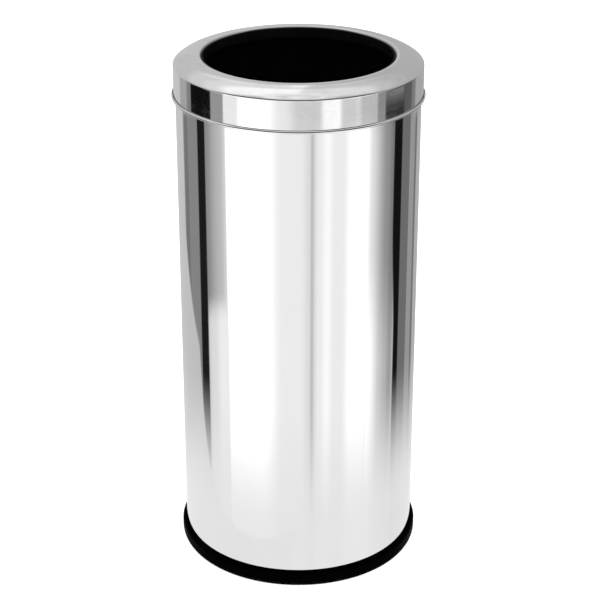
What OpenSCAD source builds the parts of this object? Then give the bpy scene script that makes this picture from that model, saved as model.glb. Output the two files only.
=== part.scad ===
/* [Body shell] */
// Outside diameter of the polished steel tube
body_d = 300; // [240:1:420]
// Height of the tube's rolled top edge above the floor
shell_top = 641; // [420:1:900]
// Thickness of the stainless sheet of the tube and the lid
sheet = 0.8; // [0.6:0.1:1]
// Diameter of the hem rolled into the tube's top edge
hem_d = 4.2; // [3.4:0.1:6]

/* [Base ring] */
// Height of the black ring that the tube stands in
ring_h = 20; // [15:0.5:40]
// How far the ring stands out past the tube
ring_out = 5.3; // [4:0.1:12]
// Radius that rounds the ring's top outer edge
ring_round = 4.4; // [1:0.1:5]
// How far the ring's foot is tucked in under its widest part
ring_tuck = 2.9; // [1:0.1:5]
// Height at which the ring reaches its full width
ring_belly_z = 7; // [4:0.5:9]
// Width of the ring's foot on the floor
foot_w = 9; // [6:0.5:14]
// Height of the flange that carries the tube and the pan
seat_z = 8; // [7:0.5:12]
// Thickness of that flange
flange_t = 4; // [2.5:0.5:4.5]
// How far the flange reaches in from the tube's outside
flange_w = 22; // [20:1:40]

/* [Bottom pan] */
// Thickness of the pan's galvanised sheet
pan_sheet = 1; // [0.8:0.1:1.5]
// Height of the pan's turned-up rim
pan_rim_h = 18; // [10:1:24]
// Radius of the bend between the pan's bottom and its rim
pan_bend = 4; // [2:0.5:8]
// How far the middle of the pan is raised to stiffen it
pan_raise = 6; // [2:0.5:10]
// Width of the flat land between the pan's raised middle and its rim
pan_land = 42; // [36:1:60]
// Number of screws that hold the base ring to the pan
screw_count = 6; // [3:1:12]
// Diameter of those screws
screw_d = 3.9; // [3:0.1:5]
// Diameter of their heads
screw_head_d = 7.5; // [6:0.1:9]
// Height of their heads
screw_head_h = 2.3; // [1.5:0.1:2.4]
// Length of their shanks
screw_l = 12; // [9:0.5:16]
// Length of each arm of the cross recess in their heads, end to end
recess_l = 4.5; // [3:0.1:5.5]
// Width of the recess's arms
recess_w = 1; // [0.6:0.1:1.4]
// Depth of the recess
recess_h = 1; // [0.5:0.1:1.4]

/* [Bucket] */
// Thickness of the bucket's sheet
bucket_sheet = 0.8; // [0.6:0.1:1]
// Gap between the bucket's wall and the tube's hem
bucket_clear = 1.6; // [1.4:0.1:4]
// How much smaller the bucket's radius is at its lower edge
bucket_taper = 8; // [2:0.5:25]
// Gap between the pan's rim and the hanging bucket
bucket_under = 6; // [3:0.5:60]
// Diameter of the wire in the bucket's rim
rim_wire_d = 4; // [3:0.1:6]
// Height of the bucket's bottom above its lower edge
bottom_up = 14; // [10:0.5:30]
// Height of the seam that grips the bucket's bottom
seam_h = 6; // [4:0.5:9]

/* [Bail and ears] */
// Diameter of the bail's wire
bail_d = 4; // [3:0.1:5]
// Radius of the bends at the bail's ends
bail_bend = 6; // [4:0.5:10]
// Depth of the bail's pivot under the tube's top edge
bail_drop = 18; // [16:0.5:60]
// Diameter of the bail's grip
grip_d = 13; // [9:0.5:16]
// Length of the grip along the wire
grip_l = 100; // [60:1:140]
// Thickness of the head upset on each end of the bail
pin_head_t = 1.2; // [0.8:0.1:2]
// How far that head stands out past the wire
pin_head_out = 1.2; // [0.8:0.1:2]
// Width of an ear's raised middle
ear_w = 22; // [16:0.5:30]
// Height of an ear
ear_h = 24; // [16:0.5:30]
// Thickness of an ear's sheet
ear_t = 2; // [1.5:0.1:3]
// How far an ear's middle stands in from its feet
ear_stand = 8; // [7:0.5:12]
// Length of each of an ear's feet, measured from the raised middle
ear_foot = 14; // [10:0.5:20]
// Length of the shelf that the stored bail lies on
shelf_l = 10; // [9:0.5:16]
// Width of that shelf
shelf_w = 5; // [3:0.5:7]
// Diameter of the ears' rivets
rivet_d = 4; // [3:0.1:5]
// Diameter of the rivets' heads
rivet_head_d = 7; // [5.5:0.1:9]
// Height of the rivets' heads
rivet_head_h = 1; // [0.6:0.1:1]

/* [Lid] */
// Diameter of the lid's opening
opening_d = 235.4; // [160:0.2:300]
// Height of the lid's skirt, from its lower edge to the shoulder
skirt_h = 40.7; // [24:0.1:80]
// Gap between the skirt and the tube
skirt_gap = 1.35; // [1.2:0.05:3]
// Diameter of the bead rolled into the skirt's lower edge
bead_d = 4.4; // [3.8:0.1:6]
// Gap between that bead and the tube
bead_gap = 0.35; // [0.3:0.05:1]
// Rise of the crown from the shoulder to the opening
crown_rise = 10; // [4:0.5:20]
// Height of the crown's dome above a straight slope
crown_dome = 4; // [2:0.5:8]
// Outside radius of the shoulder
shoulder_round = 2.5; // [1.5:0.1:5]
// Outside radius of the roll at the opening
lip_round = 2.5; // [1.5:0.1:4]
// Depth of the lip turned down into the opening
lip_depth = 12; // [9:0.5:20]
// Thickness of the black collar that lines the opening
collar_t = 1.8; // [1.4:0.1:3]
// Height of the collar's outer leg
collar_leg = 7; // [4:0.5:8]
// Number of rubber buffers under the crown
buffer_count = 6; // [3:1:12]
// Thickness of a buffer over the bucket's rim
buffer_t = 4.2; // [2.5:0.1:8]
// Width of a buffer, across the rim
buffer_w = 5; // [3:0.5:6]
// Length of a buffer, along the rim
buffer_l = 18; // [10:1:30]

/* [Clearances] */
// Gap between a moving piece and the seat that it rests on
rest_gap = 0.3; // [0.3:0.05:0.6]
// Gap between pieces that are fixed to each other
fit_gap = 0.1; // [0.05:0.05:0.2]
// Radial gap of the bail's ends in the ears
run_gap = 0.1; // [0.05:0.01:0.1]

/* [Hidden] */
$fn = 96;
// The widest angle between two points of a round stretch
arc_step = 15;
// How far a chord between two such points may lie inside the round
chord_sag = 0.03;
// How far a cutting shape runs past what it cuts
past = 1;
// Points nearer than this are taken as one
near = 0.01;
// Angles through which the sheet is rolled at the tube's hem, the lid's bead and the bucket's rim
hem_turn = 285;
bead_turn = 315;
rim_turn = 300;

body_r = body_d / 2;
shell_mid_r = body_r - sheet / 2;
shell_in_r = body_r - sheet;
hem_mid_r = (hem_d - sheet) / 2;
hem_r = shell_mid_r - hem_mid_r;
hem_z = shell_top - hem_d / 2;

ring_r = body_r + ring_out;
ring_foot_r = ring_r - ring_tuck;
ring_belly = (pow(ring_tuck, 2) + pow(ring_belly_z, 2)) / (2 * ring_tuck);
flange_r = body_r - flange_w;
screw_ring_r = (flange_r + ring_foot_r - foot_w) / 2;

pan_z = seat_z + fit_gap;
pan_r = shell_in_r - fit_gap;
pan_rim_top = pan_z + pan_rim_h;

// The bucket's rim: its roll rests on the tube's hem, beside the bucket's wall
rim_mid_r = rim_wire_d / 2 + fit_gap + bucket_sheet / 2;
rim_out = rim_mid_r + bucket_sheet / 2;
bucket_top_r = hem_r - hem_d / 2 - bucket_clear - bucket_sheet / 2;
rim_r = bucket_top_r + rim_mid_r;
rim_reach = rim_out + hem_d / 2 + rest_gap;
rim_z = hem_z + sqrt(pow(rim_reach, 2) - pow(hem_r - rim_r, 2));
rim_top = rim_z + rim_out;
bucket_z = pan_rim_top + bucket_under;
bucket_low_r = bucket_top_r - bucket_taper;
// Half the distance between the two legs of the seam at the bucket's lower edge
seam_mid_r = bucket_sheet + 2 * fit_gap;

bail_z = shell_top - bail_drop;
ear_z = bail_z - ear_h / 2;
foot_out_r = bucket_mid(ear_z) - bucket_sheet / 2 - rest_gap;
foot_in_r = foot_out_r - ear_t;
ear_x = foot_in_r - ear_stand;
foot_to = asin((ear_w / 2 + ear_foot) / foot_in_r);
rivet_angle = asin((ear_w + ear_foot) / 2 / foot_in_r);
// The bail's arc starts clear of the ears, past the bend at each end
bend_x = ear_x - bail_d / 2;
bail_r = bend_x - bail_bend;
pin_head_d = bail_d + 2 * pin_head_out;
pin_out = ear_x + ear_t + rest_gap + pin_head_t;

skirt_r = body_r + skirt_gap + sheet;
opening_r = opening_d / 2;
bead_r = body_r + bead_gap + bead_d / 2;
bead_mid_r = (bead_d - sheet) / 2;
// The crown is one arc: its chord runs from the shoulder's corner to the opening's
chord = [opening_r - skirt_r, crown_rise];
crown_r = (pow(norm(chord) / 2, 2) + pow(crown_dome, 2)) / (2 * crown_dome);
crown_up = [chord[1], -chord[0]] / norm(chord);
crown_low = [skirt_r, 0] + chord / 2 + crown_up * (crown_dome - crown_r);
// The shoulder stands where the crown's underside meets the top of the buffers
crown_over_rim = crown_low[1] + rise(crown_r - sheet, rim_r - crown_low[0]);
shoulder_z = rim_top + rest_gap + buffer_t + fit_gap - crown_over_rim;
crown_mid = crown_low + [0, shoulder_z];
shoulder_at = blend_centre(skirt_r - shoulder_round, shoulder_round);
lip_at = blend_centre(opening_r + lip_round, lip_round);
shoulder_angle = heading(shoulder_at - crown_mid);
lip_angle = heading(lip_at - crown_mid);
skirt_z = shoulder_z - skirt_h;
bead_z = skirt_z + bead_d / 2;
lip_z = shoulder_z + crown_rise - lip_depth;
collar_z = lip_z - fit_gap - collar_t;

// The height of a circle of radius r, at a distance x beside its centre
function rise(r, x) = sqrt(pow(r, 2) - pow(x, 2));

function heading(v) = atan2(v[1], v[0]);

// The angle between points that keeps their chords within chord_sag of a circle of radius r
function fine_step(r) = min(arc_step, 2 * acos(1 - min(1, chord_sag / r)));

// Points along an arc about centre c, from angle a to angle b
function arc(c, r, a, b) =
    let (n = ceil(abs(b - a) / fine_step(r)))
    [for (i = [0 : n]) c + r * [cos(a + (b - a) * i / n), sin(a + (b - a) * i / n)]];

// The centre of a rounding of radius r, at radius x, that blends into the crown
function blend_centre(x, r) = [x, crown_mid[1] + rise(crown_r - r, x - crown_mid[0])];

// The radius of the middle of the bucket's sheet at height z
function bucket_mid(z) =
    bucket_low_r + bucket_taper * (z - bucket_z) / (rim_z - bucket_z);

function beside(v) = [-v[1], v[0]] / norm(v);

// The offset direction at point i of a path, mitred between its two neighbours
function mitre(path, i) =
    let (
        last = len(path) - 1,
        before = beside(path[max(i, 1)] - path[max(i, 1) - 1]),
        after = beside(path[min(i, last - 1) + 1] - path[min(i, last - 1)])
    )
    (before + after) / (1 + before * after);

// A path without the points that two arcs share where they meet
function distinct(path) =
    [for (i = [0 : len(path) - 1]) if (i == 0 || norm(path[i] - path[i - 1]) > near) path[i]];

// The outline of a sheet of thickness t whose middle follows a path
function strip(whole, t) =
    let (path = distinct(whole), last = len(path) - 1)
    concat(
        [for (i = [0 : last]) path[i] + mitre(path, i) * t / 2],
        [for (i = [last : -1 : 0]) path[i] - mitre(path, i) * t / 2]
    );

// Sheet metal spun or rolled round the upright axis
module turned_sheet(path, t) {
    rotate_extrude() polygon(strip(path, t));
}

// Copies spread evenly round the upright axis
module around(count) {
    for (i = [0 : count - 1]) {
        rotate([0, 0, 360 * i / count]) children();
    }
}

// A round bar along the radius, from radius a to radius b at height z
module radial_bar(d, a, b, z) {
    translate([a, 0, z]) rotate([0, 90, 0]) cylinder(d = d, h = b - a);
}

module body_shell() {
    tube = [[shell_mid_r, seat_z + fit_gap]];
    hem = arc([hem_r, hem_z], hem_mid_r, 0, hem_turn);
    color("silver") turned_sheet(concat(tube, hem), sheet);
}

module bottom_pan() {
    mid_z = pan_z + pan_sheet / 2;
    mid_r = pan_r - pan_sheet / 2;
    raised_r = mid_r - pan_land;
    middle = [
        [0, mid_z + pan_raise],
        [raised_r - pan_raise, mid_z + pan_raise],
        [raised_r, mid_z]
    ];
    bend = arc([mid_r - pan_bend, mid_z + pan_bend], pan_bend, -90, 0);
    color("lightgray") difference() {
        turned_sheet(concat(middle, bend, [[mid_r, pan_rim_top]]), pan_sheet);
        around(screw_count) {
            translate([screw_ring_r, 0, 0]) cylinder(d = screw_d + 2 * fit_gap, h = pan_rim_top);
        }
    }
}

module base_ring() {
    belly = arc([ring_r - ring_belly, ring_belly_z], ring_belly, -asin(ring_belly_z / ring_belly), 0);
    top = arc([ring_r - ring_round, ring_h - ring_round], ring_round, 0, 90);
    inside = [
        [body_r + fit_gap, ring_h],
        [body_r + fit_gap, seat_z],
        [flange_r, seat_z],
        [flange_r, seat_z - flange_t],
        [ring_foot_r - foot_w, seat_z - flange_t],
        [ring_foot_r - foot_w, 0]
    ];
    color([0.03, 0.03, 0.03]) difference() {
        rotate_extrude() polygon(concat(belly, top, inside));
        around(screw_count) {
            translate([screw_ring_r, 0, 0]) cylinder(d = screw_d + 2 * fit_gap, h = ring_h);
        }
    }
}

module base_ring_screw() {
    difference() {
        union() {
            cylinder(d = screw_d, h = screw_l);
            translate([0, 0, -screw_head_h]) cylinder(d = screw_head_d, h = screw_head_h);
        }
        for (turn = [0, 90]) {
            rotate([0, 0, turn]) translate([-recess_l / 2, -recess_w / 2, -screw_head_h - past]) {
                cube([recess_l, recess_w, past + recess_h]);
            }
        }
    }
}

module base_ring_screws() {
    color("gray") around(screw_count) {
        translate([screw_ring_r, 0, seat_z - flange_t - fit_gap]) base_ring_screw();
    }
}

module bucket_wall() {
    leg_r = bucket_low_r - 2 * seam_mid_r;
    bend_z = bucket_z + bucket_sheet / 2 + seam_mid_r;
    seam = arc([bucket_low_r - seam_mid_r, bend_z], seam_mid_r, 180, 360);
    rim = arc([rim_r, rim_z], rim_mid_r, 180, 180 - rim_turn);
    color([0.05, 0.05, 0.05]) difference() {
        turned_sheet(concat([[leg_r, bucket_z + seam_h]], seam, rim), bucket_sheet);
        ear_rivet_places() radial_bar(rivet_d + 2 * fit_gap, foot_in_r, rim_r, bail_z);
    }
}

module bucket_bottom() {
    disc_z = bucket_z + bottom_up;
    edge_r = bucket_low_r - seam_mid_r;
    bend = arc([edge_r - pan_bend, disc_z - pan_bend], pan_bend, 0, 90);
    foot_z = bucket_z + 2 * bucket_sheet;
    color([0.05, 0.05, 0.05]) turned_sheet(concat([[edge_r, foot_z]], bend, [[0, disc_z]]), bucket_sheet);
}

module bucket_rim_wire() {
    color("gray") rotate_extrude() translate([rim_r, rim_z]) circle(d = rim_wire_d);
}

// The four places of the ears' rivets, round the bucket
module ear_rivet_places() {
    for (side = [0, 180], end = [-1, 1]) {
        rotate([0, 0, side + end * rivet_angle]) children();
    }
}

// The ear on the +X side: a bent strip with two feet on the wall, a raised middle and the bail's shelf
module bucket_ear() {
    middle = [ear_x + ear_t / 2, (ear_w - ear_t) / 2];
    foot_r = foot_in_r + ear_t / 2;
    foot = arc([0, 0], foot_r, asin(middle[1] / foot_r), foot_to);
    half = concat([middle], foot);
    other_half = [for (i = [len(half) - 1 : -1 : 0]) [half[i][0], -half[i][1]]];
    shelf_top = bail_z - bail_d / 2 - rest_gap;
    color([0.05, 0.05, 0.05]) difference() {
        union() {
            translate([0, 0, ear_z]) linear_extrude(ear_h) {
                polygon(strip(concat(other_half, half), ear_t));
            }
            translate([ear_x - shelf_l, -ear_w / 2, shelf_top - ear_t]) cube([shelf_l + ear_t, shelf_w, ear_t]);
        }
        radial_bar(bail_d + 2 * run_gap, ear_x - past, ear_x + ear_t + past, bail_z);
        ear_rivet_places() radial_bar(rivet_d + 2 * fit_gap, foot_in_r - past, rim_r, bail_z);
    }
}

module bucket_ear_right() {
    bucket_ear();
}

module bucket_ear_left() {
    mirror([1, 0, 0]) bucket_ear();
}

module ear_rivets() {
    outside = bucket_mid(bail_z) + bucket_sheet / 2 + fit_gap;
    inside = foot_in_r - fit_gap;
    color("dimgray") ear_rivet_places() {
        radial_bar(rivet_d, inside - rivet_head_h, outside + rivet_head_h, bail_z);
        radial_bar(rivet_head_d, inside - rivet_head_h, inside, bail_z);
        radial_bar(rivet_head_d, outside, outside + rivet_head_h, bail_z);
    }
}

// A stretch of round bar bent about the upright axis, from angle a to angle b
module bent_bar(r, d, a, b) {
    rotate([0, 0, a]) rotate_extrude(angle = b - a) translate([r, 0]) circle(d = d);
}

module bail_wire() {
    color("gray") translate([0, 0, bail_z]) {
        translate([0, -bail_bend, 0]) bent_bar(bail_r, bail_d, 180, 360);
        for (side = [0, 1]) {
            mirror([side, 0, 0]) {
                translate([bend_x, -bail_bend, 0]) bent_bar(bail_bend, bail_d, 90, 180);
                radial_bar(bail_d, bend_x, pin_out, 0);
                radial_bar(pin_head_d, pin_out - pin_head_t, pin_out, 0);
            }
        }
    }
}

module bail_grip() {
    half = grip_l / bail_r * 90 / PI;
    color([0.04, 0.04, 0.04]) translate([0, -bail_bend, bail_z]) rotate([0, 0, 270 - half]) {
        rotate_extrude(angle = 2 * half) translate([bail_r, 0]) difference() {
            circle(d = grip_d);
            circle(d = bail_d + 2 * fit_gap);
        }
    }
}

module lid_ring() {
    skirt_mid_r = skirt_r - sheet / 2;
    leave = acos((skirt_mid_r - bead_r) / bead_mid_r);
    bead = arc([bead_r, bead_z], bead_mid_r, leave + bead_turn, leave);
    shoulder = arc(shoulder_at, shoulder_round - sheet / 2, 0, shoulder_angle);
    crown = arc(crown_mid, crown_r - sheet / 2, shoulder_angle, lip_angle);
    lip = arc(lip_at, lip_round - sheet / 2, lip_angle, 180);
    ends = [[opening_r + sheet / 2, lip_z]];
    color("silver") turned_sheet(concat(bead, shoulder, crown, lip, ends), sheet);
}

// A channel moulding pushed up over the lip: its tall inner leg lines the opening
module lid_collar() {
    out_r = opening_r - fit_gap;
    back_r = opening_r + sheet + fit_gap;
    top_z = lip_at[1] + lip_round / 2;
    color([0.03, 0.03, 0.03]) rotate_extrude() polygon([
        [out_r - collar_t, collar_z],
        [back_r + collar_t, collar_z],
        [back_r + collar_t, collar_z + collar_leg],
        [back_r, collar_z + collar_leg],
        [back_r, collar_z + collar_t],
        [out_r, collar_z + collar_t],
        [out_r, top_z - collar_t / 3],
        [out_r - collar_t / 3, top_z],
        [out_r - collar_t * 2 / 3, top_z],
        [out_r - collar_t, top_z - collar_t / 3]
    ]);
}

module lid_buffers() {
    low_z = rim_top + rest_gap;
    angle = buffer_l / rim_r * 180 / PI;
    under = [
        for (r = [rim_r + buffer_w / 2, rim_r, rim_r - buffer_w / 2])
        [r, crown_mid[1] + rise(crown_r - sheet, r - crown_mid[0]) - fit_gap]
    ];
    color([0.1, 0.1, 0.1]) around(buffer_count) {
        rotate([0, 0, -angle / 2]) rotate_extrude(angle = angle) {
            polygon(concat([[rim_r - buffer_w / 2, low_z], [rim_r + buffer_w / 2, low_z]], under));
        }
    }
}

body_shell();
bottom_pan();
base_ring();
base_ring_screws();
bucket_wall();
bucket_bottom();
bucket_rim_wire();
bucket_ear_left();
bucket_ear_right();
ear_rivets();
bail_wire();
bail_grip();
lid_ring();
lid_collar();
lid_buffers();
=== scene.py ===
import math

import bmesh
import bpy
from mathutils import Matrix, Vector


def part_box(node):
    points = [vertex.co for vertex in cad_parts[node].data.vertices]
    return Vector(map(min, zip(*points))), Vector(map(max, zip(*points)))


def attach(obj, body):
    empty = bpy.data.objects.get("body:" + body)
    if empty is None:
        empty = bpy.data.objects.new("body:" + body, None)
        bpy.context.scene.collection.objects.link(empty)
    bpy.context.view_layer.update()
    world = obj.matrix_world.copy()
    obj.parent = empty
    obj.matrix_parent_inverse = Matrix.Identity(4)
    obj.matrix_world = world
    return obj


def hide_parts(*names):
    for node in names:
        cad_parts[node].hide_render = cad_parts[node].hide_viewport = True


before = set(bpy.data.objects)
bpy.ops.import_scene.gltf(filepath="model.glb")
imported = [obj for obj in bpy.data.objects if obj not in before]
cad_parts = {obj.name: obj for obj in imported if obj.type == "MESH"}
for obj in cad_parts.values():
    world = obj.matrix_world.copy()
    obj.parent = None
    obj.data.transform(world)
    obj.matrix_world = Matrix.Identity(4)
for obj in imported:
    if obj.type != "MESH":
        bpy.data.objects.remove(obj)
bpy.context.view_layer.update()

# ---------------------------------------------------------------------------
# Base ring.
# A moulded black ring that the whole bin stands in. The tube sits on its inner
# flange, and its top edge is rounded so that it sheds dirt and feet don't catch.
# ---------------------------------------------------------------------------
MM = 0.001
EVEN_STEPS = 288
SHARP = math.radians(32)


def arc(centre, radius, start, stop, step=7.5):
    """Points along a round stretch, from angle start to angle stop, in degrees."""
    count = max(2, math.ceil(abs(stop - start) / step))
    angles = [math.radians(start + (stop - start) * i / count) for i in range(count + 1)]
    return [(centre[0] + radius * math.cos(a), centre[1] + radius * math.sin(a)) for a in angles]


def line(start, stop, beside=0.25, longest=40):
    """Points along a straight stretch, with one close to each end so that shading stays flat."""
    length = math.dist(start, stop)
    stations = [0, beside / length, 1 - beside / length, 1]
    between = max(1, math.ceil(length / longest))
    stations += [i / between for i in range(1, between)]
    return [
        (start[0] + (stop[0] - start[0]) * t, start[1] + (stop[1] - start[1]) * t)
        for t in sorted(stations)
    ]


def distinct(points, nearest=0.004):
    """The points without those that lie on the one before."""
    kept = [points[0]]
    for p in points[1:]:
        if math.dist(p, kept[-1]) > nearest:
            kept.append(p)
    return kept


def rounded(corners, radius, step=15):
    """A closed outline with each corner rounded by a small radius."""
    outline = []
    for i, (x, y) in enumerate(corners):
        before, after = Vector(corners[i - 1]), Vector(corners[(i + 1) % len(corners)])
        here = Vector((x, y))
        to_before, to_after = (before - here).normalized(), (after - here).normalized()
        half = to_before.angle(to_after) / 2
        if abs(half - math.pi / 2) < math.radians(4):
            outline.append((x, y))
            continue
        back = radius / math.tan(half)
        back = min(back, (before - here).length * 0.45, (after - here).length * 0.45)
        r = back * math.tan(half)
        centre = here + (to_before + to_after).normalized() * (r / math.sin(half))
        a = here + to_before * back - centre
        b = here + to_after * back - centre
        turn = a.angle_signed(b)
        count = max(2, math.ceil(abs(math.degrees(turn)) / step))
        first = math.atan2(a.y, a.x)
        outline += [
            (
                centre.x + r * math.cos(first - turn * k / count),
                centre.y + r * math.sin(first - turn * k / count),
            )
            for k in range(count + 1)
        ]
    return outline


def meshed(name, points, faces):
    """A mesh of points and faces, with its faces turned outward."""
    mesh = bpy.data.meshes.new(name)
    mesh.from_pydata(points, [], faces)
    work = bmesh.new()
    work.from_mesh(mesh)
    bmesh.ops.recalc_face_normals(work, faces=work.faces)
    work.to_mesh(mesh)
    work.free()
    return mesh


def placed(name, data):
    """A new object in the scene."""
    made = bpy.data.objects.new(name, data)
    bpy.context.scene.collection.objects.link(made)
    return made


def make_piece(name, points, faces, finish, body, stands_for, slot):
    """A named piece from points in millimetres: its mesh, shading, finish and body."""
    mesh = meshed(name, [(x * MM, y * MM, z * MM) for x, y, z in points], faces)
    mesh.shade_smooth()
    mesh.set_sharp_from_angle(angle=SHARP)
    mesh.materials.append(finish)
    piece = placed(name, mesh)
    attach(piece, body)
    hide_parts(stands_for)


def turned(outline, press=None, also=(), steps=EVEN_STEPS):
    """Points and faces of a closed outline of (radius, height) turned about the upright axis.
    press moves a point in or out by its angle, and also lists more angles to have points at."""
    angles = sorted({360 * i / steps for i in range(steps)} | set(also))
    points, rows = [], []
    for r, z in outline:
        if r < 1e-6:
            rows.append([len(points)])
            points.append((0, 0, z))
            continue
        rows.append(range(len(points), len(points) + len(angles)))
        for a in angles:
            out = r + (press(a, r, z) if press else 0)
            points.append((out * math.cos(math.radians(a)), out * math.sin(math.radians(a)), z))
    faces = []
    for low, high in zip(rows, rows[1:] + rows[:1]):
        for i in range(len(angles)):
            j = (i + 1) % len(angles)
            if len(low) > 1 and len(high) > 1:
                faces.append((low[i], low[j], high[j], high[i]))
            elif len(high) > 1:
                faces.append((low[0], high[j], high[i]))
            elif len(low) > 1:
                faces.append((low[i], low[j], high[0]))
    return points, faces


def put(tree, kind, sockets=None, **settings):
    """A new node with its settings, and its inputs set to values or joined to other nodes' outputs."""
    made = tree.nodes.new(kind)
    for key, value in settings.items():
        setattr(made, key, value)
    for key, value in (sockets or {}).items():
        if isinstance(value, bpy.types.NodeSocket):
            tree.links.new(value, made.inputs[key])
        else:
            made.inputs[key].default_value = value
    return made


def calc(tree, operation, *values, clamp=False):
    """The output of one Math node."""
    return put(
        tree, "ShaderNodeMath", dict(enumerate(values)), operation=operation, use_clamp=clamp
    ).outputs[0]


def ranged(tree, value, low, high, to_low=0.0, to_high=1.0):
    """A value moved softly from one range to another, and kept inside it."""
    return put(
        tree,
        "ShaderNodeMapRange",
        {"Value": value, "From Min": low, "From Max": high, "To Min": to_low, "To Max": to_high},
        interpolation_type="SMOOTHSTEP",
    ).outputs[0]


def mixed(tree, share, one, other):
    """A colour between two, by share. Each is a socket, a grey or a red, green and blue."""
    sockets = {"Factor": share}
    for number, value in ((6, one), (7, other)):
        if isinstance(value, float):
            value = (value,) * 3
        sockets[number] = (*value, 1) if isinstance(value, tuple) else value
    return put(tree, "ShaderNodeMix", sockets, data_type="RGBA").outputs[2]


def noise(tree, place, scale, **sockets):
    """Cloudy noise, its scale given in clouds to the metre."""
    sockets = {"Vector": place, "Scale": scale, **sockets}
    return put(tree, "ShaderNodeTexNoise", sockets).outputs["Fac"]


def on_object(tree):
    """Where a point lies on the object, in metres."""
    return put(tree, "ShaderNodeTexCoord").outputs["Object"]


def effect(name, inputs, outputs):
    """An empty node group with named inputs (with their values) and outputs."""
    tree = bpy.data.node_groups.new(name, "ShaderNodeTree")
    for label, value in inputs.items():
        socket = tree.interface.new_socket(label, in_out="INPUT", socket_type="NodeSocketFloat")
        socket.default_value = value
    for label in outputs:
        tree.interface.new_socket(label, in_out="OUTPUT", socket_type="NodeSocketFloat")
    return tree, tree.nodes.new("NodeGroupInput").outputs, tree.nodes.new("NodeGroupOutput").inputs


def use(tree, group, values):
    """The outputs of one use of a node group."""
    return put(tree, "ShaderNodeGroup", values, node_tree=group).outputs


def finish_named(name, **constants):
    """A new material, its node tree and its Principled shader, with that shader's plain values."""
    material = bpy.data.materials.new(name)
    material.use_nodes = True
    shader = material.node_tree.nodes["Principled BSDF"]
    for key, value in constants.items():
        socket = shader.inputs[key.replace("_", " ")]
        socket.default_value = (value, value, value, 1) if key == "Base_Color" else value
    return material, material.node_tree, shader


def surface(tree, shader, colour, roughness, height):
    """Feeds a finish's colour, its roughness and its relief, a height in metres, to its shader."""
    bump = put(tree, "ShaderNodeBump", {"Height": height, "Strength": 1.0, "Distance": 1.0})
    tree.links.new(colour, shader.inputs["Base Color"])
    tree.links.new(roughness, shader.inputs["Roughness"])
    tree.links.new(bump.outputs[0], shader.inputs["Normal"])


# Moulded grain: the fine skin that a mould leaves on plastic and rubber.
moulded_grain, given, out = effect("moulded_grain", {"Size": 0.001, "Depth": 0.00001}, ["Height"])
place = on_object(moulded_grain)
fine = put(
    moulded_grain,
    "ShaderNodeTexVoronoi",
    {"Vector": place, "Scale": calc(moulded_grain, "DIVIDE", 1.0, given["Size"])},
    feature="SMOOTH_F1",
).outputs["Distance"]
cloud = noise(moulded_grain, place, calc(moulded_grain, "DIVIDE", 0.4, given["Size"]), Detail=4.0)
skin = calc(moulded_grain, "MULTIPLY", calc(moulded_grain, "ADD", fine, cloud), given["Depth"])
moulded_grain.links.new(skin, out["Height"])

# Handling marks: cloudy wiped patches with a few clear ones, as hands and cloths leave.
handling_marks, given, out = effect("handling_marks", {"Size": 0.05, "Amount": 1.0}, ["Mask"])
place = on_object(handling_marks)
density = calc(handling_marks, "DIVIDE", 1.0, given["Size"])
patch = noise(handling_marks, place, density, Detail=5.0, Roughness=0.6, Distortion=0.8)
squashed = put(handling_marks, "ShaderNodeMapping", {"Vector": place, "Scale": (1.0, 1.0, 4.0)})
streak = noise(
    handling_marks, squashed.outputs[0], calc(handling_marks, "MULTIPLY", density, 6.0), Detail=3.0
)
marks = calc(
    handling_marks,
    "MULTIPLY",
    ranged(handling_marks, patch, 0.45, 0.72),
    ranged(handling_marks, streak, 0.3, 0.7, 0.35, 1.0),
)
marks = calc(handling_marks, "MULTIPLY", marks, given["Amount"], clamp=True)
handling_marks.links.new(marks, out["Mask"])

# Rubbed band: where a stretch between two heights has been rubbed or has picked up dust.
rubbed_band, given, out = effect(
    "rubbed_band", {"From": 0.0, "To": 0.1, "Fade": 0.005, "Grain": 0.01}, ["Mask"]
)
place = on_object(rubbed_band)
height = put(rubbed_band, "ShaderNodeSeparateXYZ", {"Vector": place}).outputs["Z"]
broken = noise(rubbed_band, place, calc(rubbed_band, "DIVIDE", 1.0, given["Grain"]), Detail=6.0)
rubbed = ranged(rubbed_band, broken, 0.48, 0.66)
for upper, lower in ((height, given["From"]), (given["To"], height)):
    inside = calc(rubbed_band, "SUBTRACT", upper, lower)
    inside = ranged(rubbed_band, calc(rubbed_band, "DIVIDE", inside, given["Fade"]), 0.0, 1.0)
    rubbed = calc(rubbed_band, "MULTIPLY", rubbed, inside)
rubbed_band.links.new(rubbed, out["Mask"])

RING_FLANGE_IN = 128.0
RING_FLANGE_LOW, RING_SEAT = 4.0, 8.0
RING_FOOT_WIDTH = 9.0
RING_TUCK, RING_BELLY_Z = 2.9, 7.0
RING_TOP_ROUND = 4.4
RING_EDGE_ROUND = 0.4
RING_GAP = 0.1
ring_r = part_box("base_ring")[1].x / MM
ring_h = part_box("base_ring")[1].z / MM
tube_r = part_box("body_shell")[1].x / MM
ring_foot = ring_r - RING_TUCK
belly_r = (RING_TUCK**2 + RING_BELLY_Z**2) / (2 * RING_TUCK)
belly_from = -math.degrees(math.asin(RING_BELLY_Z / belly_r))
ring_corners = [
    (tube_r + RING_GAP, ring_h),
    (tube_r + RING_GAP, RING_SEAT),
    (RING_FLANGE_IN, RING_SEAT),
    (RING_FLANGE_IN, RING_FLANGE_LOW),
    (ring_foot - RING_FOOT_WIDTH, RING_FLANGE_LOW),
    (ring_foot - RING_FOOT_WIDTH, 0),
    (ring_foot, 0),
]
ring_inside = rounded(ring_corners, RING_EDGE_ROUND)
ring_outside = arc((ring_r - belly_r, RING_BELLY_Z), belly_r, belly_from + 4, 0, step=3)
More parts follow.
